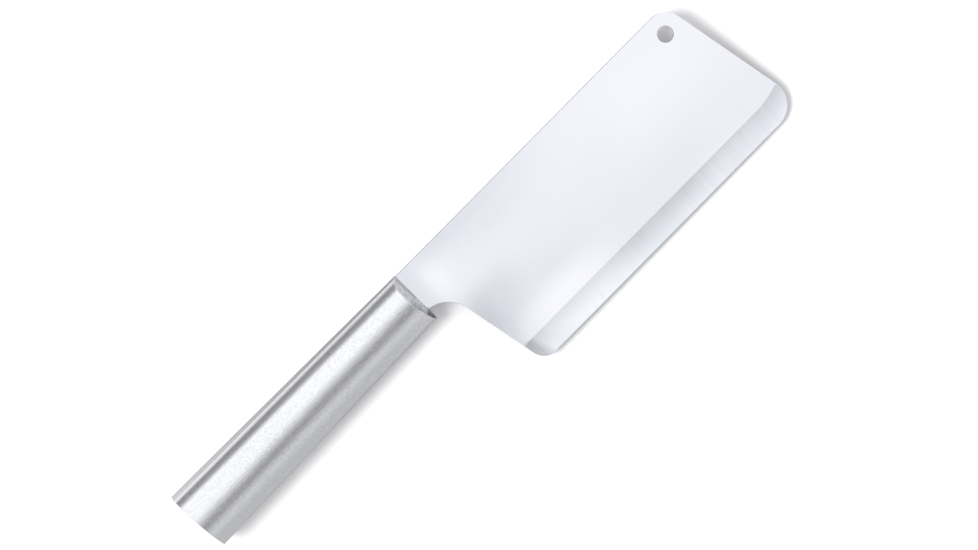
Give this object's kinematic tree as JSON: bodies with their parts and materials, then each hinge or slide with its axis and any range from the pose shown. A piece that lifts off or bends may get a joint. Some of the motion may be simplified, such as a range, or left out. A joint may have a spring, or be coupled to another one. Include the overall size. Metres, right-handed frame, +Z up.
{
  "type": "kitchen cleaver",
  "caption": "Light kitchen cleaver lying on its side: a square-ended sheet blade with a hollow-ground edge, a finger notch and a hanging hole, in a cast metal handle with a rounded teardrop section.",
  "frame": {"origin": "middle of the footprint, on the surface that the knife lies on", "axes": "+X from the butt to the tip, +Y towards the spine, +Z up; the knife lies at rest on the swell of its handle's lower face and its edge near the tip, so its flat is turned 6.0 degrees about X and 0.73 degrees about Y"},
  "size_m": [0.2712, 0.0639, 0.0183],
  "materials": {
    "blade_steel": "finely satin-polished stainless sheet, with grinding lines square to the edge on the ground strip",
    "handle_metal": "cast, brushed lengthwise, left rough as cast on the front's two bevels"
  },
  "bodies": {
    "root": {"blade": "blade_steel", "handle": "handle_metal"}
  },
  "joints": []
}
